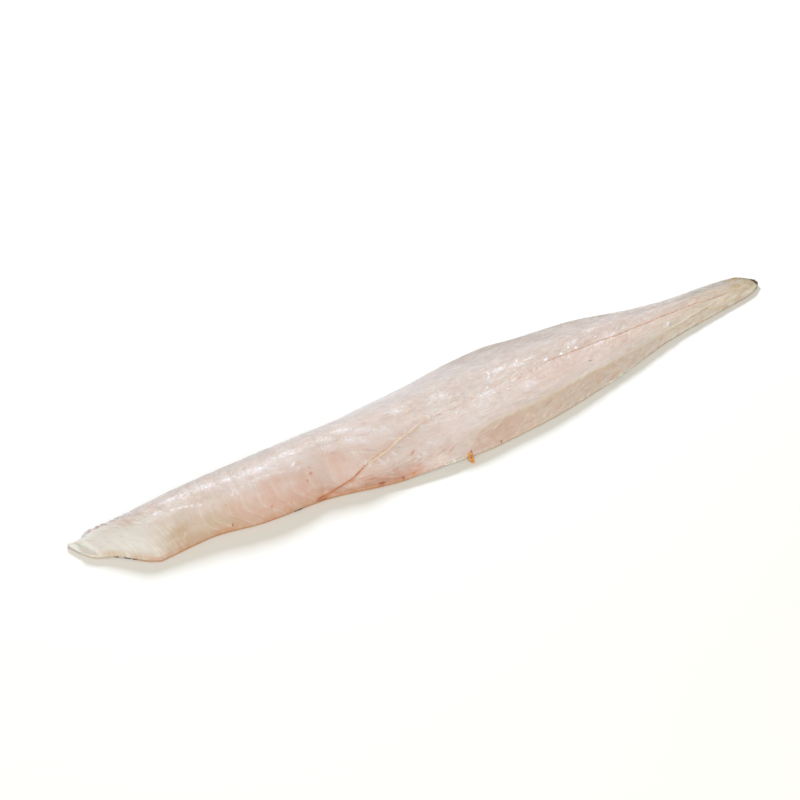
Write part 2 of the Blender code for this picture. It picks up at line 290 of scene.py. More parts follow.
# Marks on the flesh, by kind: distance, fraction across, half length, half width, degrees of turn.
MARKS = {
    # These smears are painted highlights, raised a little.
    "painted_glint_smear": (
        (155.7, 0.184, 2.1, 0.9, -40), (163.8, 0.220, 1.6, 0.8, -37),
        (178.5, 0.140, 2.0, 0.7, -30), (159.5, 0.190, 1.2, 0.6, 50),
    ),
    # Pale marks are white specks and pin-bone dots, but the row from 39.8 to 61.4 mm is a painted
    # highlight.
    "pale": (
        (190.0, 0.380, 0.9, 0.6, 20), (193.5, 0.389, 0.6, 0.5, 0), (349.0, 0.189, 1.8, 0.8, 30),
        (270.3, 0.449, 1.4, 1.0, 20), (280.6, 0.447, 1.4, 1.0, 20), (291.0, 0.443, 1.1, 0.9, 20),
        (263.7, 0.384, 0.6, 0.4, 10), (303.5, 0.412, 0.6, 0.4, 10), (316.0, 0.388, 0.6, 0.4, 10),
        (39.8, 0.476, 1.4, 0.7, 0), (48.2, 0.395, 1.2, 0.5, -10), (51.8, 0.365, 1.1, 0.5, -10),
        (54.8, 0.334, 1.3, 0.5, -20), (57.6, 0.312, 0.9, 0.5, -20), (61.4, 0.273, 1.0, 0.4, 0),
        (112.4, 0.326, 2.0, 0.6, 30),
    ),
    "cream": (
        (164.1, 0.485, 2.2, 0.8, 30), (182.7, 0.515, 2.8, 0.9, 30), (176.0, 0.530, 2.4, 0.8, 40),
        (188.0, 0.395, 2.6, 0.7, 0), (251.0, 0.432, 2.0, 0.5, 0), (236.0, 0.425, 1.6, 0.5, 0),
    ),
    "red": (
        (119.0, 0.200, 1.2, 0.6, 10), (119.6, 0.258, 0.5, 0.45, 0), (115.8, 0.145, 0.6, 0.45, 0),
    ),
    "blood": (
        (120.0, 0.000, 3.2, 0.5, 4), (150.9, 0.010, 2.0, 0.7, 5), (161.7, 0.008, 0.9, 0.6, 0),
        (292.0, 0.238, 0.6, 0.5, 0), (201.2, 0.014, 0.6, 0.5, 60), (72.8, 0.020, 0.5, 0.35, 0),
        (219.5, 0.004, 0.7, 0.35, 0),
    ),
    "rust": (
        (93.8, 0.056, 0.9, 0.5, 20), (104.0, 0.034, 0.7, 0.35, 0), (173.0, 0.178, 1.9, 0.6, 28),
        (167.7, 0.010, 1.9, 0.8, 10), (148.0, 0.070, 2.6, 0.5, 10), (137.5, 0.080, 1.6, 0.5, 10),
        (286.5, 0.560, 1.0, 0.5, 30), (258.3, 0.394, 1.3, 0.5, 0), (249.5, 0.383, 2.4, 0.5, 5),
        (218.0, 0.398, 1.0, 0.5, 0), (97.0, 0.670, 0.9, 0.35, 25), (73.0, 0.190, 0.4, 0.3, 0),
    ),
    "ochre": (
        (407.0, 0.400, 2.4, 0.9, 10), (402.0, 0.280, 4.0, 0.45, 10), (394.0, 0.180, 4.0, 0.4, 8),
        (411.0, 0.500, 2.6, 0.4, 20), (409.0, 0.860, 5.0, 0.8, -6), (388.0, 0.640, 5.0, 0.35, -6),
        (366.0, 0.120, 3.0, 0.35, 5), (378.0, 0.150, 2.5, 0.3, 5),
    ),
}

# Wet glints, raised a little and painted pale as highlights: distance, fraction across, half length,
# half width.
GLINTS = (
    (42.5, 0.445, 4.0, 0.9), (52.0, 0.375, 4.5, 0.9), (60.0, 0.295, 4.0, 0.9),
    (51.2, 0.573, 4.0, 2.0), (57.8, 0.560, 5.0, 2.4), (67.5, 0.520, 7.0, 2.4),
    (80.0, 0.500, 4.0, 1.8), (78.8, 0.289, 3.8, 2.2), (86.0, 0.317, 3.6, 2.0),
    (91.4, 0.322, 4.2, 1.6), (96.8, 0.315, 3.6, 1.4), (104.6, 0.303, 2.6, 1.0),
    (112.4, 0.288, 4.4, 0.9), (95.0, 0.480, 7.0, 2.4), (112.0, 0.520, 8.0, 2.4),
    (133.0, 0.394, 3.6, 1.8), (145.0, 0.410, 4.0, 2.0), (146.0, 0.564, 6.0, 2.2),
    (134.6, 0.520, 4.0, 1.8), (145.0, 0.267, 3.0, 1.4), (151.0, 0.368, 3.4, 1.6),
    (153.5, 0.490, 4.0, 2.0), (160.5, 0.435, 3.6, 1.8), (148.5, 0.173, 2.6, 1.2),
    (164.7, 0.425, 3.4, 1.6), (176.4, 0.550, 4.0, 2.2), (184.2, 0.190, 3.4, 1.6),
    (203.0, 0.535, 5.0, 2.2), (227.0, 0.375, 4.2, 2.0), (243.3, 0.555, 4.6, 2.2),
    (254.0, 0.530, 5.0, 2.0), (264.3, 0.550, 3.4, 1.6), (251.0, 0.280, 4.6, 2.4),
    (305.2, 0.394, 4.0, 1.4), (313.6, 0.420, 3.6, 1.4), (308.0, 0.629, 3.6, 1.4),
    (291.0, 0.530, 4.0, 1.4), (176.0, 0.140, 3.0, 1.4),
)

# The torn tag at the vent, as a hooked loop: points in millimetres.
TAG_LOOP = (
    (200.7, -50.6, 4.0), (199.7, -51.2, 3.7), (198.6, -51.6, 3.1), (198.3, -52.7, 2.3),
    (198.8, -53.5, 1.7), (199.0, -54.8, 1.0), (200.1, -55.2, 0.9), (200.0, -53.9, 1.6),
    (200.8, -52.7, 2.5), (200.8, -50.9, 3.4),
)
TAG_RADII = (0.5, 0.6, 0.65, 0.55, 0.65, 0.6, 0.4, 0.55, 0.65, 0.6)
TAG_STEPS = 70
# Beads along it: their height, and their pace at each step
TAG_BEADS = ((0.08, 1.1), (0.05, 2.7))

# The torn pale lips of skin at the belly edge: from, to, and half thickness.
LIPS = (("edge_lip", 184.5, 198.0, 0.95), ("edge_frill", 288.0, 323.0, 0.62))
LIP_STEPS = 160
LIP_INWARD = 0.25
LIP_LIFT = 0.35

# The thread: its sides, how deep it sits and dips, and the share by which its thickness varies.
THREAD_SIDES = 8
THREAD_SUNK = 0.1
THREAD_DIP = 0.4
THREAD_UNEVEN = 0.25
# The height of the thread and the lips, as a share of their width
SQUASH = 0.8

# Noise in the materials: the mesh's coordinates, their turn in degrees and scale (in lumps a
# millimetre), and the noise's detail, roughness and distortion.
NOISE = {
    "arcs": ("fibre", 0, (0.8, 0.12, 1.0), 4.0, 0.6, 0.6),
    "lengthwise": ("place", 4, (0.10, 0.95, 1.0), 4.0, 0.62, 0.8),
    "slanted": ("place", -10, (0.12, 1.0, 1.0), 4.0, 0.62, 1.0),
    "mottle": ("place", 0, (0.11, 0.15, 1.0), 4.0, 0.6, 0.4),
    "cloud": ("place", 0, (0.26, 0.5, 1.0), 4.0, 0.6, 0.6),
    "grain": ("fibre", 0, (1.2, 0.55, 1.0), 3.0, 0.65, 0.0),
    "strands": ("fibre", 0, (1.05, 0.16, 1.0), 2.0, 0.5, 0.4),
    "ripples": ("fibre", 0, (0.32, 0.40, 1.0), 2.0, 0.5, 0.8),
    "fine": ("place", 0, (1.5, 1.5, 1.5), 3.0, 0.6, 0.0),
    "skin patches": ("fibre", 0, (0.07, 0.12, 1.0), 5.0, 0.65, 0.0),
    "skin grain": ("fibre", 0, (1.2, 1.2, 1.2), 3.0, 0.65, 0.0),
    "skin specks": ("fibre", 0, (0.35, 0.35, 0.35), 2.0, 0.5, 0.0),
    "thread grain": ("object", 0, (0.8, 0.8, 0.8), 2.0, 0.5, 0.0),
    "tag grain": ("object", 0, (0.9, 0.9, 0.9), 3.0, 0.6, 0.0),
    "lip grain": ("object", 0, (0.7, 0.7, 0.7), 3.0, 0.6, 0.0),
}

# Paints on the flesh, one over the other: the zone, the strength and the screen colour.
FLESH_COLOUR = (228, 226, 225)
FLESH_PAINTS = (
    ("rosy", 1.0, (229, 213, 212)),
    ("plain", 1.0, (213, 200, 194)),
    ("grey", 1.0, (213, 202, 186)),
    # far, outer and crest are painted shade: darker paint where the key light falls most, on the far
    # slope, the back edge and the crest.
    ("far", 0.95, (201, 184, 175)),
    ("outer", 0.95, (179, 165, 159)),
    ("crest", 0.75, (203, 188, 181)),
    # low is partly painted shade: the lower flank darker and warmer.
    ("low", 0.95, (205, 184, 163)),
    ("pink", 0.5, (220, 185, 172)),
    # lilac is a painted sheen: the lilac-grey of the wet far slope.
    ("lilac", 0.5, (196, 180, 182)),
    ("tan", 0.8, (220, 200, 185)),
    ("flush", 0.75, (210, 166, 148)),
    ("deep", 0.75, (196, 146, 120)),
    ("hem", 0.5, (197, 166, 144)),
    ("tail_low", 0.5, (230, 223, 210)),
    ("tail_tan", 0.6, (192, 170, 142)),
    ("glassy", 0.75, (162, 160, 148)),
    ("tip", 0.9, (226, 226, 220)),
    ("ochre", 0.7, (172, 154, 118)),
)
# Mottling over them: the noise, the values where it starts and is full, the strength, the
# screen colour and the zone that it keeps to, if any.
MOTTLING = (
    ("cloud", 0.52, 0.74, 0.30, (238, 232, 228), None),
    ("cloud", 0.46, 0.26, 0.30, (206, 175, 164), None),
    ("streaks", 0.53, 0.72, 0.42, (242, 236, 228), None),
    ("streaks", 0.46, 0.28, 0.32, (194, 160, 146), None),
    ("slanted", 0.54, 0.68, 0.30, (240, 230, 218), "slanted"),
    ("slanted", 0.48, 0.34, 0.28, (204, 156, 128), "slanted"),
)
STRAND_COLOUR = (242, 240, 234)
# Lines over that, as in FLESH_PAINTS
LINE_PAINTS = (
    ("septum", 0.27, (240, 235, 232)),
    ("ridge", 0.50, (228, 216, 196)),
    ("thread", 0.35, (240, 216, 186)),
    ("orange", 0.5, (210, 142, 104)),
    ("lower_line", 0.6, (204, 152, 118)),
    ("head_rim", 0.5, (240, 238, 236)),
    ("end_dark", 0.9, (58, 46, 36)),
)
# Marks over those: the kind, the strength and the screen colour. Their soft edge runs over
# these shares of their half size.
MARK_PAINTS = (
    ("cream", 0.34, (232, 212, 172)),
    ("rust", 0.6, (208, 146, 98)),
    ("ochre", 0.55, (198, 168, 112)),
    ("blood", 0.75, (168, 92, 66)),
    ("red", 0.55, (208, 108, 96)),
    # The smears are painted highlights.
    ("painted_glint_smear", 0.55, (240, 238, 243)),
    # Pale marks are white specks, and near the head a row of painted highlight.
    ("pale", 0.9, (246, 244, 249)),
)
MARK_EDGE = (1.35, 0.45)
# Painted highlights where the wet glints are: a soft pale smudge and sharp flecks.
GLINT_SMUDGE_COLOUR = (236, 232, 240)
GLINT_FLECK_COLOUR = (250, 248, 248)

# The skin: its scales' lattice, its ground from the belly to the back, and what is painted on it.
SCALE_TURN = 45
SCALE_PITCH = (0.58, 0.58, 1.0)
SCALE_RANDOMNESS = 0.38
SILVER = ((206, 202, 198), (236, 232, 226))
BROWN = ((88, 70, 64), (132, 112, 102))
NIGHT = (96, 94, 106)
SKIN_GLITTER = (238, 236, 238)
SKIN_SHADE = (140, 122, 122)
SPOTS = ((142, 112, 92), (50, 34, 32))
SKIN_PAINTS = (
    ("lateral", (100, 72, 58)),
    ("inner", (222, 216, 206)),
    ("rim", (214, 194, 172)),
    ("rust_edge", (208, 152, 108)),
)
SPECK_COLOUR = (52, 42, 32)

# The small pieces' screen colours
THREAD_COLOURS = ((206, 140, 110), (242, 222, 204))
TAG_COLOURS = ((244, 186, 110), (214, 132, 58))
LIP_COLOURS = ((214, 204, 190), (244, 240, 234))
LIP_UNDER = (110, 92, 58)

# Each material's constants, on the shader's own sockets
FINISH = {
    "hake_flesh_wet": {
        "Subsurface Weight": 0.6, "Subsurface Radius": (1.0, 0.6, 0.42),
        "Subsurface Scale": 0.0018, "Specular IOR Level": 0.15, "Coat Weight": 0.6,
        "Coat Roughness": 0.11, "IOR": 1.4,
    },
    "hake_skin_scaled": {
        "Subsurface Weight": 0.4, "Subsurface Radius": (1.0, 0.7, 0.5),
        "Subsurface Scale": 0.0015, "Coat Weight": 0.4, "Coat Roughness": 0.12,
    },
    "membrane_thread": {
        "Roughness": 0.4, "Subsurface Weight": 0.5, "Subsurface Radius": (1.0, 0.6, 0.4),
        "Subsurface Scale": 0.0008, "Coat Weight": 0.5, "Coat Roughness": 0.15,
    },
    "membrane_orange": {
        "Roughness": 0.35, "Subsurface Weight": 0.4, "Subsurface Radius": (1.0, 0.5, 0.2),
        "Subsurface Scale": 0.0006,
    },
    "skin_lip_pale": {
        "Roughness": 0.4, "Subsurface Weight": 0.3, "Subsurface Scale": 0.0008,
        "Coat Weight": 0.5, "Coat Roughness": 0.15,
    },
    "white_table": {
        "Base Color": (0.90, 0.90, 0.90, 1.0), "Roughness": 0.9, "Specular IOR Level": 0.0,
    },
}

# Camera, floor and light, in metres
CAMERA_AT = (-0.45312, -0.65168, 0.67730)
LOOK_AT = (-0.01456, 0.02596, 0.0)
# The lens and the sensor's width are in millimetres.
LENS = 90
SENSOR_WIDTH = 36
FLOOR_SIDE = 8.0
KEY_AT = (0.33, 1.07, 0.75)
KEY_SIZE = 0.26
KEY_POWER = 18.7
KEY_COLOUR = (0.84, 0.90, 1.0)
FILL_AT = (-0.73, -1.12, 1.20)
FILL_SIZE = 0.8
FILL_POWER = 20.5
FILL_COLOUR = (1.0, 0.965, 0.89)
GLINT_AT = (0.50, 1.05, 0.80)
GLINT_SIZE = 0.16
GLINT_POWER = 5.0
WORLD_STRENGTH = 0.295
WORLD_COLOUR = (1.0, 0.95, 0.78, 1.0)


def cubic(places, values, at):
    """A cubic through (places, values) that never overshoots them.

    Each row of places and values is one curve, read at one element of at.
    """
    at = np.asarray(at, float).reshape(-1)
    places = np.broadcast_to(np.asarray(places, float), (at.size, np.shape(places)[-1]))
    values = np.broadcast_to(np.asarray(values, float), places.shape)
    gaps = np.diff(places)
    slopes = np.diff(values) / gaps
    left, right = slopes[:, :-1], slopes[:, 1:]
    left_weight = 2 * gaps[:, 1:] + gaps[:, :-1]
    right_weight = gaps[:, 1:] + 2 * gaps[:, :-1]
    turning = left * right <= 0
    safe_left = np.where(turning, 1.0, left)
    safe_right = np.where(turning, 1.0, right)
    mean = (left_weight + right_weight) / (left_weight / safe_left + right_weight / safe_right)
    inner = np.where(turning, 0.0, mean)
    tangents = np.concatenate([slopes[:, :1], inner, slopes[:, -1:]], axis=1)
    span = np.clip((places <= at[:, None]).sum(axis=1) - 1, 0, gaps.shape[1] - 1)
    row = np.arange(at.size)
    gap = gaps[row, span]
    t = np.clip((at - places[row, span]) / gap, 0, 1)
    start, end = values[row, span], values[row, span + 1]
    start_slope, end_slope = tangents[row, span] * gap, tangents[row, span + 1] * gap
    return (
        start * (1 + 2 * t) * (1 - t) ** 2
        + start_slope * t * (1 - t) ** 2
        + end * t * t * (3 - 2 * t)
        - end_slope * t * t * (1 - t)
    )


def line(knots, at):
    """One smooth curve through (distance, value) knots, at any shape of array."""
    places, values = np.array(knots, float).T
    at = np.asarray(at, float)
    return cubic(places, values, at).reshape(at.shape)


def ramp(start, end, at):
    """0 before start and 1 after end, with a smooth rise between."""
    t = np.clip((np.asarray(at, float) - start) / (end - start), 0, 1)
    return t * t * (3 - 2 * t)


def window(start, full, fade, end, at):
    """Rises from start to full and falls from fade to end."""
    return ramp(start, full, at) * (1 - ramp(fade, end, at))


def lumps(u, v, slice_at, octaves=2):
    """Smooth noise over (u, v), about -1 to 1, with lumps about one unit wide."""
    flat = zip(np.ravel(u), np.ravel(v))
    values = [noise.fractal(Vector((a, b, slice_at)), 1.0, 2.0, octaves) for a, b in flat]
    return np.array(values).reshape(np.shape(u))


def edges(x, inset):
    """The belly and back edges at x, moved inwards by inset."""
    return line(BELLY_EDGE, x) + inset, line(BACK_EDGE, x) - inset


def underside(x, across):
    """Height of the skin's outer face above the table."""
    belly = np.clip((FLAT_FROM - across) / FLAT_FROM, 0, 2) ** 2 * line(BELLY_LIFT, x)
    back = np.clip((across - FLAT_TO) / (1 - FLAT_TO), 0, 2) ** 2 * line(BACK_LIFT, x)
    return belly + back


def section(x, across):
    """Height of the smooth flesh face: a cubic through the lines that cross each section."""
    flat_x, flat_across = x.ravel(), across.ravel()
    zero, one = np.zeros_like(flat_x), np.ones_like(flat_x)
    shoulder = line(SHOULDER_PLACE, flat_x)
    edge = underside(flat_x, zero) + EDGE_THICKNESS
    face = edge + (line(SHOULDER_HEIGHT, flat_x) - edge) * line(FACE_HEIGHT, flat_x)
    places = [
        zero,
        shoulder * line(FACE_PLACE, flat_x),
        shoulder,
        line(BACKBONE_PLACE, flat_x),
        line(CREST_PLACE, flat_x),
        line(BACK_PLACE, flat_x),
        one,
    ]
    heights = [
        edge,
        face,
        line(SHOULDER_HEIGHT, flat_x),
        line(BACKBONE_HEIGHT, flat_x),
        line(CREST_HEIGHT, flat_x),
        line(BACK_HEIGHT, flat_x),
        underside(flat_x, one) + EDGE_THICKNESS,
    ]
    return cubic(np.stack(places, axis=1), np.stack(heights, axis=1), flat_across).reshape(x.shape)


def bell(at, middle, spread):
    """1 at the middle, with a smooth fall on both sides."""
    return np.exp(-((at - middle) / spread) ** 2)


def zone(name, x, across=0.5):
    """How strong one of ZONES is at x, and at a fraction across."""
    row = ZONES[name]
    strength = row[8] if len(row) > 8 else 1.0
    return strength * window(*row[:4], x) * window(*row[4:8], across)


def bow(x, across):
    """How far a muscle flake has swung towards the tail at this place across."""
    crest = line(CREST_PLACE, x)
    belly_side = np.clip(1 - across / BELLY_BOW_FROM, 0, 1) ** BOW_POWER * BELLY_BOW
    back_side = np.clip((across - crest) / (1 - crest), 0, 1) ** BOW_POWER * BACK_BOW
    return (belly_side + back_side) * zone("bowed flakes", x)


def septa_places():
    """Flake boundaries: those that are plain to see, then evenly on to the tail."""
    further = np.arange(SEEN_SEPTA[-1] + FLAKE_PITCH, LENGTH, FLAKE_PITCH)
    wander = np.sin(np.arange(further.size) * 2.4) * 1.3
    return np.concatenate([SEEN_SEPTA, further + wander])


def width_at(distance):
    """The flesh's width in millimetres at one distance."""
    belly, back = edges(np.array([float(distance)]), FLESH_INSET)
    return float(back[0] - belly[0])


class Surface:
    """The places of the flesh face's points, and what is painted and raised there."""

    def __init__(self):
        rings = np.linspace(0, LENGTH, RINGS)
        shoulder = line(SHOULDER_PLACE, rings)[:, None]
        face = shoulder * np.linspace(0, 1, FACE_COLUMNS + 1)[None, :-1]
        top = shoulder + (1 - shoulder) * np.linspace(0, 1, TOP_COLUMNS + 1)[None, :]
        self.across = np.concatenate([face, top], axis=1)
        station = np.broadcast_to(rings[:, None], self.across.shape)
        self.x = FLESH_INSET + station * (1 - 2 * FLESH_INSET / LENGTH)
        self.belly, back = edges(self.x, FLESH_INSET)
        width = back - self.belly
        self.from_belly = self.across * width
        self.flake_at = self.x - bow(self.x, self.across)
        head = 1 - zone("upright fibres", self.x)
        self.fibre_at = self.flake_at + FIBRE_SLANT * head * self.from_belly
        self.from_thread = (self.across - line(THREAD, self.x)) * width
        self.lumps_large = lumps(self.x / 17, self.across / 0.33, 0.37)
        self.lumps_small = lumps(self.x / 5.5, self.from_belly / 4.0, 4.1)
        self.lumps_fine = lumps(self.x / 1.9, self.from_belly / 1.9, 8.3)
        self.patchy = 0.5 * self.lumps_large + 0.35 * self.lumps_small
        self.wander = WANDER_LARGE * self.lumps_large + WANDER_SMALL * self.lumps_small
        ridge = line(RIDGE, self.x).clip(0.02)
        self.below_ridge = self.across / ridge
        self.ridge_share = (self.across + 0.010 * self.lumps_small) / ridge
        softness = 0.12 + 0.5 * (1 - zone("crisp ridge", self.x))
        self.side = 1 - np.clip((self.ridge_share - 1 + softness) / (1.6 * softness), 0, 1)
        self.find_septa()
        self.find_marks()
        self.find_ground()
        self.find_belly_tones()
        self.find_ends()
        self.find_lines()
        self.find_grain()

    def mark(self, distance, fraction, half_length, half_width, degrees=0):
        """One elliptical mark: 1 at its middle, with a smooth fall all round."""
        angle = np.radians(degrees)
        along, beside = self.x - distance, self.from_belly - fraction * width_at(distance)
        turned = along * np.cos(angle) + beside * np.sin(angle)
        square = -along * np.sin(angle) + beside * np.cos(angle)
        return bell(np.hypot(turned / half_length, square / half_width), 0, 1)

    def patched(self, name, amount):
        """The amount, more in some patches than in others."""
        mean, contrast = PATCHES[name]
        return amount * np.clip(mean + contrast * self.patchy, 0, 1)

    def beside_thread(self, name):
        """A band that runs beside the thread."""
        return bell(self.from_thread, *BESIDE_THREAD[name]) * zone(name, self.x)

    def find_septa(self):
        """How near each place is to a flake's boundary, and how full the flake is there."""
        places = septa_places()
        index = np.clip(np.searchsorted(places, self.flake_at), 1, places.size - 1)
        before, after = places[index - 1], places[index]
        place = self.flake_at + 0.5 * self.lumps_small
        near = np.minimum(np.abs(place - before), np.abs(place - after))
        t = np.clip((self.flake_at - before) / (after - before), 0, 1)
        self.boundary = bell(near, 0, SEPTUM_HALF_WIDTH)
        self.swell = 4 * t * (1 - t)
        shown = [zone(name, self.x, self.across) for name in ("clear septa", "faint septa")]
        broken = np.clip(0.7 + 0.5 * self.lumps_small, 0.2, 1)
        self.septum = self.boundary * np.maximum(*shown) * broken

    def find_marks(self):
        """The marks that are raised or sunk, and the wet glints, where pale highlights are painted
        too.
        """
        self.marks = {}
        for kind in MARK_RELIEF:
            self.marks[kind] = np.maximum.reduce([self.mark(*mark) for mark in MARKS[kind]])
        self.glints = np.maximum.reduce([self.mark(*glint) for glint in GLINTS])
        self.painted_glint_smudges = self.glints

    def find_ground(self):
        """The broad tones, from the loin to the tail and out to the back edge, with painted shade on
        the far slope, the back edge and the crest, and a painted lilac sheen on the far slope.
        """
        x, across = self.x, self.across
        self.rosy = self.patched("rosy", zone("rosy", x + self.wander))
        self.plain = self.patched("plain", zone("plain", x + self.wander))
        self.grey = zone("grey", x + self.wander)
        place = across + WANDER_ACROSS * self.patchy
        # Painted shade: the far slope, the back edge and the crest are painted darker where the key
        # light falls most on them.
        far = zone("far", x, across + WANDER_FAR * self.patchy)
        self.far = np.maximum(far, zone("beyond thread", x, place))
        self.outer = zone("outer", x, place)
        from_crest = bell(across - line(CREST_PLACE, x), *CREST_BAND)
        self.crest = self.patched("crest", zone("crest", x) * from_crest)
        # The lilac-grey on the far slope is a painted sheen.
        self.lilac = self.patched("lilac", zone("lilac", x, across))
        self.lilac = np.maximum(self.lilac, zone("purple", x, across))

    def find_belly_tones(self):
        """The warm tones along the belly edge, partly painted shade of the lower flank, and the pink
        above them.
        """
        x, across = self.x, self.across
        place = across + WANDER_ACROSS * self.lumps_small
        self.hem = zone("hem", x, across)
        self.deep = zone("deep", x, place)
        # The lower flank is painted darker and warmer: partly its own tone, partly painted shade.
        self.low = np.maximum.reduce([
            zone("low", x, place), zone("head hem", x, across),
            zone("corner", x, across), zone("above corner", x, place),
        ])
        pink = zone("pink", x) * bell(across, *PINK_BAND)
        for distance, fraction, half_length, half_width, strength in PINK_SPOTS:
            reach = ((x - distance) / half_length) ** 2 + ((across - fraction) / half_width) ** 2
            pink = np.maximum(pink, strength * np.exp(-reach))
        self.pink = np.clip(pink * (1 + 0.6 * self.patchy), 0, 1)
        below_thread = 1 - ramp(-0.5, 0.5, self.from_thread)
        flush = np.maximum.reduce([
            zone("flank", x, place), zone("flap", x, place) * below_thread,
            zone("bruise", x, place), self.beside_thread("seam"), zone("vent", x) * self.side,
        ])
        self.flush = np.clip(flush * (1 + 0.5 * self.patchy), 0, 1)

    def find_ends(self):
        """The tail's tan side, glassy back edge and ochre end, and the head end's pale cut."""
        x, across = self.x, self.across
        self.tan = zone("tan", x) * self.side * (0.6 + 0.4 * ramp(0.3, 0.95, self.ridge_share))
        place = across + WANDER_ACROSS * self.patchy
        self.tail_low = zone("tail low", x + 0.4 * self.wander, place)
        below_ridge = bell(self.ridge_share, 0.82, 0.2) * zone("below ridge", x)
        tail_tan = self.patched("tail tan", zone("tail tan", x, across))
        self.tail_tan = np.maximum(tail_tan, below_ridge)
        self.glassy = np.maximum(zone("back rim", x, across), zone("tail edge", x, across))
        end = zone("ochre", x + 3 * self.lumps_small) * np.clip(0.7 + self.lumps_small, 0.2, 1)
        end = end * (1 - zone("bare end", x, across))
        self.ochre = end * (0.5 + 0.5 * zone("ochre across", x, across))
        specks = zone("end specks", x, across) * ramp(-0.3, 0.3, 0.4 + self.lumps_fine)
        self.end_dark = np.maximum(specks, zone("end", x))
        slant = HEAD_RIM_SLANT * np.clip(1 - across, 0, 1) ** HEAD_RIM_POWER
        from_rim = x - (HEAD_RIM_START + slant)
        self.tip = 1 - ramp(-0.5, 0.3, from_rim)
        self.head_rim = bell(from_rim, 0, HEAD_RIM_SPREAD) * zone("head rim", x, across)

    def find_lines(self):
        """The thread, the ridge and the line at the belly edge."""
        x, across, rings = self.x, self.across, self.x[:, :1]
        broken = np.clip(0.5 + 1.3 * lumps(rings / BREAK_LENGTH, rings * 0, BREAK_SLICE), 0, 1)
        on_thread = bell(self.from_thread, 0, 0.36 + 0.10 * self.lumps_small)
        pale = np.maximum.reduce([
            zone("pale start", x),
            zone("pale middle", x) * broken,
            zone("pale tailward", x) * (0.4 + 0.6 * broken),
        ])
        self.thread = np.maximum(on_thread * pale, self.beside_thread("pale raised"))
        self.orange = np.maximum.reduce([
            on_thread * zone("orange start", x),
            on_thread * zone("orange middle", x) * (1 - broken),
            self.beside_thread("orange beside"),
            self.beside_thread("orange tailward"),
        ])
        on_ridge = bell(across, line(RIDGE, x), RIDGE_SPREAD)
        self.ridge = (1 + zone("bright ridge", x)) * zone("ridge", x) * on_ridge
        uneven = np.clip(0.6 + 0.9 * lumps(rings / 5.0, rings * 0, 5.2), 0.15, 1)
        self.lower_line = zone("lower line", x, across) * uneven

    def find_grain(self):
        """Which way the fibres run, how wet the face is, and where highlights are painted at the
        glints.
        """
        x, across = self.x, self.across
        behind_vent = zone("slanted", x) * (1 - ramp(0.9, 1.1, self.below_ridge))
        self.slanted = np.maximum(behind_vent, zone("slanted flap", x, across))
        self.strands = zone("strands", x, across)
        self.lengthwise = 1 - zone("arcs", x, across)
        band = np.maximum(zone("wet crest", x, across), self.beside_thread("wet thread"))
        self.wet = np.clip(0.35 + 0.65 * band, 0, 1)
        # Painted highlights: flecks at the glints and a few along the wet bands.
        self.painted_glint_flecks = np.clip(self.glints + 0.10 * band, 0, 1)

    def averaged(self, steps):
        """The smooth face, averaged over some steps across."""
        faces = [section(self.x, np.clip(self.across + step, 0, 1)) for step in steps]
        return np.mean(faces, axis=0)

    def heights(self):
        """The smooth face with flakes, threads, creases, lumps and marks on it."""
        x, across = self.x, self.across
        z = section(x, across)
        away = ramp(0.02, 0.10, across - line(SHOULDER_PLACE, x)) * zone("shaped", x, across)
        at_ridge = (1 - away) * zone("shaped ridge", x, across)
        z = z + (self.averaged(RIDGE_STEPS) - z) * at_ridge
        elsewhere = np.maximum(away, zone("round loin", x)) * zone("round", x, across)
        z = z + (self.averaged(ROUNDING_STEPS) - z) * elsewhere

        fainter = (1 - zone("fainter back", x, across)) * (1 - zone("fainter tail", x))
        flakes = FLAKE_SWELL * (self.swell - 0.5) - SEPTUM_DEPTH * self.boundary
        lumpy = RELIEF["large lumps"] * self.lumps_large + RELIEF["small lumps"] * self.lumps_small
        lumpy = lumpy + RELIEF["fine lumps"] * self.lumps_fine
        fibres = lumps(self.fibre_at / 1.2, self.from_belly / 11, 12.7)
        wrinkles = zone("wrinkles", x, across) * np.sin(x * 1.7 + 3 * self.lumps_small)
        relief = (
            zone("flakes", x) * fainter * flakes
            + zone("lumps", x) * lumpy
            + RELIEF["strands"] * fibres * self.strands
            + RELIEF["wrinkles"] * wrinkles
        )
        glints = self.glints * lumps(x / 1.8, self.from_belly / 1.1, 3.3)
        z = z + zone("inside", x, across) * relief + RELIEF["glints"] * glints

        low_band = underside(x, across) + EDGE_THICKNESS * 0.8
        z = z + self.tip * (low_band - z) * 0.72
        z = z + RELIEF["step"] * self.beside_thread("step") * np.tanh(self.from_thread / 1.1)
        z = z + RELIEF["groove"] * self.beside_thread("groove")
        z = z + RELIEF["thread"] * self.thread + RELIEF["ridge"] * self.ridge
        z = z + RELIEF["head rim"] * self.head_rim
        for kind, height in MARK_RELIEF.items():
            z = z + height * self.marks[kind]
        return z

    def attributes(self):
        """Each named layer of paint, for the material to mix."""
        names = [name for name, *_ in FLESH_PAINTS + LINE_PAINTS]
        names += ["painted_glint_smudges", "wet", "painted_glint_flecks", "strands", "slanted", "lengthwise"]
        return {name: getattr(self, name) for name in names}

    def in_plan(self, distance):
        """(distance, width) in millimetres, for the marks or the fibres."""
        return np.stack([distance, self.from_belly, np.zeros_like(distance)], axis=-1)


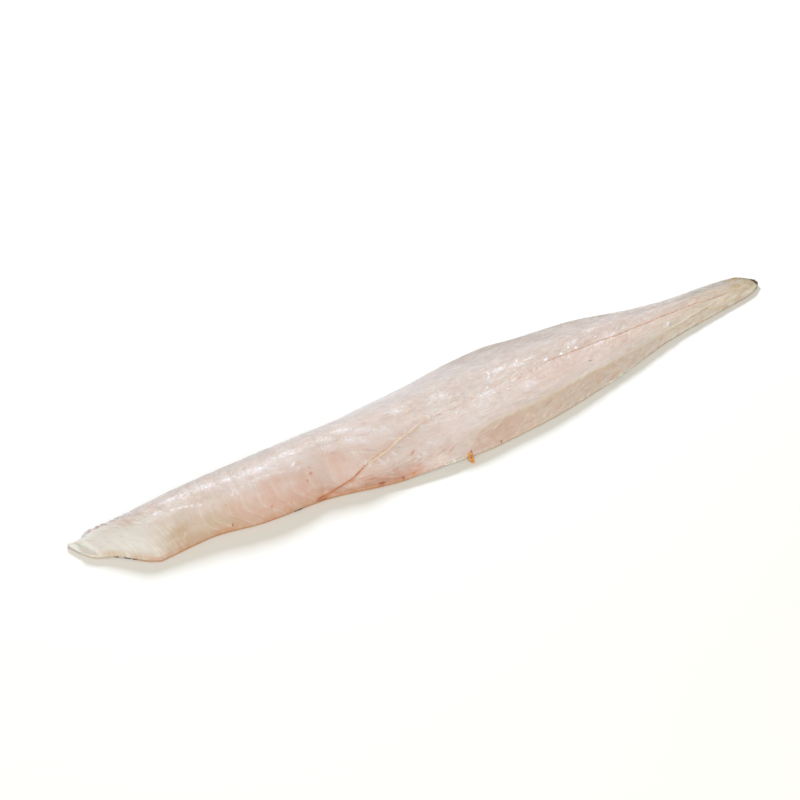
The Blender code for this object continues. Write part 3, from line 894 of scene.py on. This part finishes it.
def tube(name, rings, material):
    """A closed mesh from rings of points in millimetres, with a fan over each end."""
    count, around = rings.shape[:2]
    first = np.arange((count - 1) * around).reshape(count - 1, around)
    after = np.roll(first, -1, axis=1)
    quads = np.stack([first, after, after + around, first + around], axis=-1)
    middles = [rings[0].mean(axis=0)[None], rings[-1].mean(axis=0)[None]]
    points = np.concatenate([rings.reshape(-1, 3), *middles])
    head, tail = len(points) - 2, len(points) - 1
    faces = quads.reshape(-1, 4).tolist()
    last = (count - 1) * around
    for side in range(around):
        other = (side + 1) % around
        faces.append((head, other, side))
        faces.append((tail, last + side, last + other))
    mesh = bpy.data.meshes.new(name)
    mesh.from_pydata((points * MM).tolist(), [], faces)
    mesh.materials.append(material)
    mesh.shade_smooth()
    mesh.set_sharp_from_angle(angle=SHARP_ANGLE)
    piece = bpy.data.objects.new(name, mesh)
    bpy.context.collection.objects.link(piece)
    return piece


def add_float(piece, name, values):
    layer = piece.data.attributes.new(name, "FLOAT", "POINT")
    layer.data.foreach_set("value", np.ravel(values).astype(np.float32))


def add_vector(piece, name, values):
    layer = piece.data.attributes.new(name, "FLOAT_VECTOR", "POINT")
    layer.data.foreach_set("vector", np.ravel(values).astype(np.float32))


def srgb(red, green, blue):
    """A linear colour from 0-255 screen values."""
    share = np.array([red, green, blue]) / 255
    linear = np.where(share <= 0.04045, share / 12.92, ((share + 0.055) / 1.055) ** 2.4)
    return (*linear.tolist(), 1.0)


class Nodes:
    """Short ways to add shader nodes to one material."""

    def __init__(self, name):
        self.material = bpy.data.materials.new(name)
        self.material.use_nodes = True
        self.tree = self.material.node_tree
        self.shader = self.tree.nodes["Principled BSDF"].inputs
        for socket, value in FINISH[name].items():
            self.shader[socket].default_value = value

    def put(self, value, socket):
        if isinstance(value, bpy.types.NodeSocket):
            self.tree.links.new(value, socket)
        else:
            socket.default_value = value

    def add(self, kind, inputs, output=0, **settings):
        """One new shader node with its settings and inputs, and one of its outputs."""
        node = self.tree.nodes.new("ShaderNode" + kind)
        for name, value in settings.items():
            setattr(node, name, value)
        for socket, value in inputs.items():
            self.put(value, node.inputs[socket])
        return node.outputs[output]

    def attribute(self, name, output="Fac"):
        return self.add("Attribute", {}, output, attribute_name=name)

    def math(self, operation, first, second):
        return self.add("Math", {0: first, 1: second}, operation=operation)

    def times(self, first, second):
        return self.math("MULTIPLY", first, second)

    def scaled(self, vector, scale):
        return self.add("VectorMath", {0: vector, 1: scale}, operation="MULTIPLY")

    def turned(self, vector, degrees):
        inputs = {"Vector": vector, "Angle": np.radians(degrees)}
        return self.add("VectorRotate", inputs, rotation_type="Z_AXIS")

    def noise(self, name):
        """One of the noises of NOISE."""
        coordinates, degrees, scale, detail, roughness, distortion = NOISE[name]
        if coordinates == "object":
            vector = self.scaled(self.add("TexCoord", {}, "Object"), (1 / MM, 1 / MM, 1 / MM))
        else:
            vector = self.attribute(coordinates, "Vector")
        if degrees:
            vector = self.turned(vector, degrees)
        inputs = {
            "Vector": self.scaled(vector, scale), "Scale": 1.0, "Detail": detail,
            "Roughness": roughness, "Distortion": distortion,
        }
        return self.add("TexNoise", inputs, "Fac")

    def pockets(self, vector, randomness):
        """The distance to the middle of the nearest cell of a loose lattice."""
        inputs = {"Vector": vector, "Scale": 1.0, "Randomness": randomness}
        return self.add("TexVoronoi", inputs, "Distance")

    def remap(self, value, low, high, to_low=0.0, to_high=1.0):
        inputs = {
            "Value": value, "From Min": low, "From Max": high, "To Min": to_low, "To Max": to_high,
        }
        return self.add("MapRange", inputs, "Result", interpolation_type="SMOOTHSTEP")

    def mix(self, factor, under, over):
        return self.add("Mix", {"Factor": factor, 6: under, 7: over}, 2, data_type="RGBA")

    def paint(self, amount, under, colour):
        """An amount of one screen colour over what is under it."""
        return self.mix(amount, under, srgb(*colour))

    def between(self, amount, colours):
        """A tone between two screen colours."""
        return self.mix(amount, srgb(*colours[0]), srgb(*colours[1]))

    def bump(self, height, distance, strength=1.0, normal=None):
        inputs = {"Height": height, "Distance": distance, "Strength": strength}
        if normal is not None:
            inputs["Normal"] = normal
        return self.add("Bump", inputs, "Normal")

    def marks(self, place, kind, strength):
        """How much of one kind of elliptical mark covers each place."""
        total = 0.0
        for distance, fraction, half_length, half_width, degrees in MARKS[kind]:
            inputs = {
                "Vector": place, "Location": (distance, fraction * width_at(distance), 0),
                "Rotation": (0, 0, np.radians(degrees)), "Scale": (half_length, half_width, 1),
            }
            reach = self.add("Mapping", inputs, vector_type="TEXTURE")
            reach = self.add("VectorMath", {0: reach}, "Value", operation="LENGTH")
            total = self.math("MAXIMUM", self.remap(reach, *MARK_EDGE, 0.0, strength), total)
        return total


def flesh_material():
    """Zones of paint, some of them painted shade and sheen, mottling, strands, lines, marks and
    painted highlights, one over the other.
    """
    nodes = Nodes("hake_flesh_wet")
    noises = {name: nodes.noise(name) for name in ("slanted", "mottle", "cloud", "grain")}
    arcs = nodes.remap(nodes.noise("arcs"), 0.0, 1.0, 0.28, 0.72)
    streaks = nodes.mix(nodes.attribute("lengthwise"), arcs, nodes.noise("lengthwise"))
    streaks = nodes.mix(nodes.attribute("slanted"), streaks, noises["slanted"])
    noises["streaks"] = streaks
    wobble = nodes.remap(noises["mottle"], 0.3, 0.7, 0.75, 1.15)

    colour = srgb(*FLESH_COLOUR)
    for name, strength, paint in FLESH_PAINTS:
        amount = nodes.times(nodes.attribute(name), strength)
        amount = nodes.math("MINIMUM", nodes.times(amount, wobble), 1.0)
        colour = nodes.paint(amount, colour, paint)
    for name, start, full, strength, paint, zone in MOTTLING:
        amount = nodes.remap(noises[name], start, full, 0.0, strength)
        if zone:
            amount = nodes.times(amount, nodes.attribute(zone))
        colour = nodes.paint(amount, colour, paint)
    shown = nodes.times(nodes.remap(nodes.noise("strands"), 0.50, 0.64), nodes.attribute("strands"))
    patchy = nodes.remap(noises["cloud"], 0.38, 0.62, 0.15, 0.45)
    colour = nodes.paint(nodes.times(shown, patchy), colour, STRAND_COLOUR)
    for name, strength, paint in LINE_PAINTS:
        colour = nodes.paint(nodes.times(nodes.attribute(name), strength), colour, paint)
    place = nodes.attribute("place", "Vector")
    for kind, strength, paint in MARK_PAINTS:
        colour = nodes.paint(nodes.marks(place, kind, strength), colour, paint)
    # Painted highlights at the wet glints: soft smudges, then sharp flecks.
    glint_smudge_amount = nodes.remap(noises["cloud"], 0.35, 0.65, 0.2, 0.62)
    colour = nodes.paint(nodes.times(glint_smudge_amount, nodes.attribute("painted_glint_smudges")), colour, GLINT_SMUDGE_COLOUR)
    glint_fleck_amount = nodes.remap(noises["grain"], 0.53, 0.63, 0.0, 0.95)
    colour = nodes.paint(nodes.times(glint_fleck_amount, nodes.attribute("painted_glint_flecks")), colour, GLINT_FLECK_COLOUR)

    ripples, wet = nodes.noise("ripples"), nodes.attribute("wet")
    normal = nodes.bump(streaks, 0.0005, 0.5, nodes.bump(ripples, 0.0006, wet))
    normal = nodes.bump(nodes.noise("fine"), 0.0002, 0.5, normal)
    nodes.put(colour, nodes.shader["Base Color"])
    nodes.put(nodes.remap(noises["mottle"], 0.3, 0.7, 0.30, 0.44), nodes.shader["Roughness"])
    nodes.put(normal, nodes.shader["Normal"])
    nodes.put(nodes.bump(ripples, 0.0016, wet), nodes.shader["Coat Normal"])
    return nodes.material


def skin_material():
    """Silver at the belly and brown at the back, with a dark spot in each scale's pocket."""
    nodes = Nodes("hake_skin_scaled")
    lattice = nodes.turned(nodes.attribute("fibre", "Vector"), SCALE_TURN)
    pockets = nodes.pockets(nodes.scaled(lattice, SCALE_PITCH), SCALE_RANDOMNESS)
    patches, grain = nodes.noise("skin patches"), nodes.noise("skin grain")
    back = nodes.math("ADD", nodes.attribute("back"), nodes.times(patches, 0.5))
    night = nodes.times(nodes.attribute("headward"), nodes.remap(patches, 0.38, 0.56, 0.0, 0.9))
    dark = nodes.math("MAXIMUM", nodes.remap(back, 0.68, 1.06), night)
    ground = nodes.mix(dark, nodes.between(patches, SILVER), nodes.between(patches, BROWN))
    ground = nodes.paint(night, ground, NIGHT)
    ground = nodes.paint(nodes.remap(grain, 0.54, 0.66, 0.0, 0.6), ground, SKIN_GLITTER)
    ground = nodes.paint(nodes.remap(grain, 0.46, 0.34, 0.0, 0.35), ground, SKIN_SHADE)
    radius = nodes.math("ADD", nodes.times(dark, 0.24), 0.17)
    inside = nodes.remap(nodes.math("SUBTRACT", pockets, radius), 0.09, -0.05, 0.0, 0.8)
    colour = nodes.mix(inside, ground, nodes.between(dark, SPOTS))
    for name, paint in SKIN_PAINTS:
        colour = nodes.paint(nodes.attribute(name), colour, paint)
    specks = nodes.remap(nodes.noise("skin specks"), 0.43, 0.50)
    colour = nodes.paint(nodes.times(specks, nodes.attribute("dark_edge")), colour, SPECK_COLOUR)

    normal = nodes.bump(nodes.remap(pockets, 0.1, 0.6), 0.0003, 0.7)
    normal = nodes.bump(grain, 0.0001, 0.5, normal)
    nodes.put(colour, nodes.shader["Base Color"])
    nodes.put(nodes.remap(pockets, 0.2, 0.6, 0.25, 0.5), nodes.shader["Roughness"])
    nodes.put(normal, nodes.shader["Normal"])
    nodes.put(normal, nodes.shader["Coat Normal"])
    return nodes.material


def thread_material():
    nodes = Nodes("membrane_thread")
    grain = nodes.remap(nodes.noise("thread grain"), 0.35, 0.65, -0.25, 0.25)
    tone = nodes.remap(nodes.math("ADD", nodes.attribute("pale"), grain), 0.0, 1.0)
    nodes.put(nodes.between(tone, THREAD_COLOURS), nodes.shader["Base Color"])
    return nodes.material


def tag_material():
    nodes = Nodes("membrane_orange")
    grain = nodes.noise("tag grain")
    colour = nodes.between(nodes.remap(grain, 0.4, 0.62), TAG_COLOURS)
    nodes.put(colour, nodes.shader["Base Color"])
    nodes.put(nodes.bump(grain, 0.0003, 0.8), nodes.shader["Normal"])
    return nodes.material


def lip_material():
    nodes = Nodes("skin_lip_pale")
    grain = nodes.noise("lip grain")
    colour = nodes.between(nodes.remap(grain, 0.40, 0.60), LIP_COLOURS)
    colour = nodes.paint(nodes.attribute("under"), colour, LIP_UNDER)
    nodes.put(colour, nodes.shader["Base Color"])
    nodes.put(nodes.bump(grain, 0.0003, 0.8), nodes.shader["Normal"])
    return nodes.material


def flesh_points(surface, heights):
    """The flesh: its modelled face, then its smooth underside on the skin."""
    face = np.stack([surface.x, surface.belly + surface.from_belly, heights], axis=-1)
    across = np.linspace(1, 0, UNDER_COLUMNS)[None, :] * np.ones((RINGS, 1))
    x = np.broadcast_to(surface.x[:, :1], across.shape)
    belly, back = edges(x, FLESH_INSET)
    y = belly + across * (back - belly)
    base = np.stack([x, y, underside(x, across) + SKIN_THICKNESS], axis=-1)
    return np.concatenate([face, base], axis=1)


def with_ends(values):
    """The values of each ring's points, then those of the two end points."""
    flat = values.reshape(values.shape[0] * values.shape[1], -1)
    ends = [row.reshape(values.shape[1], -1).mean(axis=0)[None] for row in (values[0], values[-1])]
    return np.concatenate([flat, *ends])


def with_underside(values):
    """The face's values, then the hidden side's, which run from the back edge's to the belly's."""
    share = np.linspace(0, 1, UNDER_COLUMNS)[None, :, None]
    under = values[:, -1:] * (1 - share) + values[:, :1] * share
    return np.concatenate([values, under], axis=1)


def dress_flesh():
    """The flesh with its paints, and the thread that lies on it."""
    surface = Surface()
    heights = surface.heights()
    piece = tube("flesh_face", flesh_points(surface, heights)[:, ::-1], flesh_material())
    for name, values in surface.attributes().items():
        add_float(piece, name, with_ends(with_underside(values[:, :, None])[:, ::-1]))
    for name, values in (("fibre", surface.fibre_at), ("place", surface.x)):
        add_vector(piece, name, with_ends(with_underside(surface.in_plan(values))[:, ::-1]))
    return piece, make_thread(surface, heights)


def make_skin():
    """The skin: its scaled outer face below, and a plain inner face under the flesh."""
    outer_across = np.broadcast_to(np.linspace(0, 1, SKIN_COLUMNS), (SKIN_RINGS, SKIN_COLUMNS))
    inner_across = np.broadcast_to(np.linspace(1, 0, INNER_COLUMNS), (SKIN_RINGS, INNER_COLUMNS))
    across = np.concatenate([inner_across, outer_across], axis=1)
    x = np.broadcast_to(np.linspace(0, LENGTH, SKIN_RINGS)[:, None], across.shape)
    inner = np.zeros_like(across)
    inner[:, :INNER_COLUMNS] = 1.0
    belly, back = edges(x, 0.0)
    from_belly = across * (back - belly)
    z = underside(x, across) + SKIN_THICKNESS * inner
    points = np.stack([x, belly + from_belly, z], axis=-1)
    piece = tube("skin_scaled", points[:, ::-1], skin_material())
    rim = np.maximum(zone("belly rim", x, across), zone("outer rim", x, across))
    kinds = ("tail specks", "tip specks", "head specks", "belly specks")
    specks = np.maximum.reduce([zone(name, x, across) for name in kinds])
    layers = {
        "back": across,
        "inner": inner,
        "lateral": bell(across, *LATERAL_BAND) * zone("lateral", x) * (1 - inner),
        "rim": rim,
        "rust_edge": rim * zone("rust edge", x, across),
        "dark_edge": rim * specks,
        "headward": zone("headward", x),
    }
    for name, values in layers.items():
        add_float(piece, name, with_ends(values[:, ::-1]))
    fibre = np.stack([x, from_belly, np.zeros_like(x)], axis=-1)
    add_vector(piece, "fibre", with_ends(fibre[:, ::-1]))
    return piece


def swept(name, path, radii, material, around=14, squash=1.0):
    """A tube along a path of points in millimetres, its height squashed to a share of its width.

    It also gives the angles of the points round it.
    """
    tangents = np.gradient(path, axis=0)
    tangents /= np.linalg.norm(tangents, axis=1, keepdims=True)
    side = np.cross(tangents, (0, 0, 1.0))
    side /= np.maximum(np.linalg.norm(side, axis=1, keepdims=True), 0.01)
    up = np.cross(side, tangents)
    turn = np.linspace(0, 2 * np.pi, around, endpoint=False)
    ring = side[:, None] * np.cos(turn)[None, :, None]
    ring = ring + squash * up[:, None] * np.sin(turn)[None, :, None]
    return tube(name, path[:, None] + ring * radii[:, None, None], material), turn


def make_thread(surface, heights):
    """The thin raised thread along the backbone, broken where it dips into the flesh."""
    x = surface.x[:, 0]
    across = line(THREAD, x)
    face = zip(across, surface.across, heights)
    z = np.array([np.interp(at, places, high) for at, places, high in face])
    shown = (x > THREAD_RADIUS[0][0]) & (x < THREAD_RADIUS[-1][0])
    x, across, z = x[shown], across[shown], z[shown]
    belly, back = edges(x, FLESH_INSET)
    y = belly + across * (back - belly)
    uneven = 1 + THREAD_UNEVEN * lumps(x / 1.3, x * 0, 7.7)
    radii = line(THREAD_RADIUS, x) * uneven
    broken = 1 - np.clip(0.5 + 1.6 * lumps(x / BREAK_LENGTH, x * 0, BREAK_SLICE), 0, 1)
    z = z - THREAD_SUNK - THREAD_DIP * broken * zone("thread dips", x)
    path = np.stack([x, y, z], axis=1)
    piece, turn = swept("backbone_thread", path, radii, thread_material(), THREAD_SIDES, SQUASH)
    pale = zone("light thread", x) + zone("light tail thread", x)
    add_float(piece, "pale", with_ends(np.repeat(pale[:, None], turn.size, axis=1)[:, :, None]))
    return piece


def make_tag():
    """The orange hooked tag of torn membrane that hangs from the vent."""
    places = np.array([(*point, radius) for point, radius in zip(TAG_LOOP, TAG_RADII)])
    knots = np.arange(len(places))
    at = np.linspace(0, knots[-1], TAG_STEPS)
    curve = np.stack([line(np.stack([knots, values], axis=1), at) for values in places.T], axis=1)
    beads = sum(height * np.sin(np.arange(TAG_STEPS) * pace) for height, pace in TAG_BEADS)
    return swept("vent_tag", curve[:, :3], curve[:, 3] + beads, tag_material())[0]


def make_lip(name, start, end, thickness):
    """A thin ruffled lip of pale torn skin along the belly edge."""
    x = np.linspace(start, end, LIP_STEPS)
    level = x * 0
    rise = np.sin(np.linspace(0, np.pi, LIP_STEPS)) ** 0.5
    y = line(BELLY_EDGE, x) + LIP_INWARD - 0.35 * lumps(x / 2.6, level, 6.4) * rise
    z = underside(x, level) + SKIN_THICKNESS + LIP_LIFT + 0.3 * lumps(x / 2.0, level, 9.2) * rise
    radii = thickness * (0.25 + 0.75 * rise) * (1 + 0.35 * lumps(x / 1.7, level, 1.6))
    path = np.stack([x, y, z], axis=1)
    piece, turn = swept(name, path, radii, lip_material(), squash=SQUASH)
    under = np.broadcast_to(1 - ramp(-0.75, -0.35, np.sin(turn)), (LIP_STEPS, turn.size))
    add_float(piece, "under", with_ends(under[:, :, None]))
    return piece


def to_frame(pieces, guide):
    """Moves the meshes so that the guide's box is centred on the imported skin's."""
    low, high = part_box("skin")
    points = np.array([vertex.co for vertex in guide.data.vertices])
    middle = (points.min(axis=0) + points.max(axis=0)) / 2
    shift = (np.array(low) + np.array(high)) / 2 - middle
    shift[2] = low[2] - points.min(axis=0)[2]
    for piece in pieces:
        for vertex in piece.data.vertices:
            vertex.co += Vector(shift)


def add_floor():
    half = FLOOR_SIDE / 2
    mesh = bpy.data.meshes.new("floor")
    corners = [(-half, -half, 0), (half, -half, 0), (half, half, 0), (-half, half, 0)]
    mesh.from_pydata(corners, [], [(0, 1, 2, 3)])
    floor = bpy.data.objects.new("floor", mesh)
    bpy.context.collection.objects.link(floor)
    mesh.materials.append(Nodes("white_table").material)


def add_camera():
    data = bpy.data.cameras.new("camera")
    data.lens = LENS
    data.sensor_width = SENSOR_WIDTH
    camera = bpy.data.objects.new("camera", data)
    bpy.context.collection.objects.link(camera)
    camera.location = CAMERA_AT
    view = Vector(LOOK_AT) - Vector(CAMERA_AT)
    camera.rotation_euler = view.to_track_quat("-Z", "Y").to_euler()
    bpy.context.scene.camera = camera


def add_lamp(name, place, size, power):
    data = bpy.data.lights.new(name, "AREA")
    data.size = size
    data.energy = power
    lamp = bpy.data.objects.new(name, data)
    bpy.context.collection.objects.link(lamp)
    lamp.location = place
    lamp.rotation_euler = (-Vector(place)).to_track_quat("-Z", "Y").to_euler()
    return lamp


def add_light():
    """A key from behind that casts the shadow, a fill in front, a glint lamp, and a warm world."""
    key = add_lamp("key", KEY_AT, KEY_SIZE, KEY_POWER)
    key.data.color = KEY_COLOUR
    key.visible_glossy = False
    fill = add_lamp("fill", FILL_AT, FILL_SIZE, FILL_POWER)
    fill.data.color = FILL_COLOUR
    fill.visible_glossy = False
    glint = add_lamp("glint", GLINT_AT, GLINT_SIZE, GLINT_POWER)
    glint.visible_diffuse = False
    world = bpy.data.worlds.new("studio")
    world.use_nodes = True
    background = world.node_tree.nodes["Background"]
    background.inputs["Color"].default_value = WORLD_COLOUR
    background.inputs["Strength"].default_value = WORLD_STRENGTH
    bpy.context.scene.world = world


def main():
    bpy.context.scene.view_settings.view_transform = "Standard"
    flesh, thread = dress_flesh()
    skin = make_skin()
    tag = make_tag()
    lips = [make_lip(*lip) for lip in LIPS]
    to_frame([flesh, skin, thread, tag, *lips], skin)
    for piece, node in ((flesh, "flesh"), (skin, "skin")):
        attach(piece, "root")
        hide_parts(node)
    for piece in (thread, tag):
        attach(piece, "root")
    for piece in lips:
        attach(piece, "root")
    add_floor()
    add_camera()
    add_light()


main()
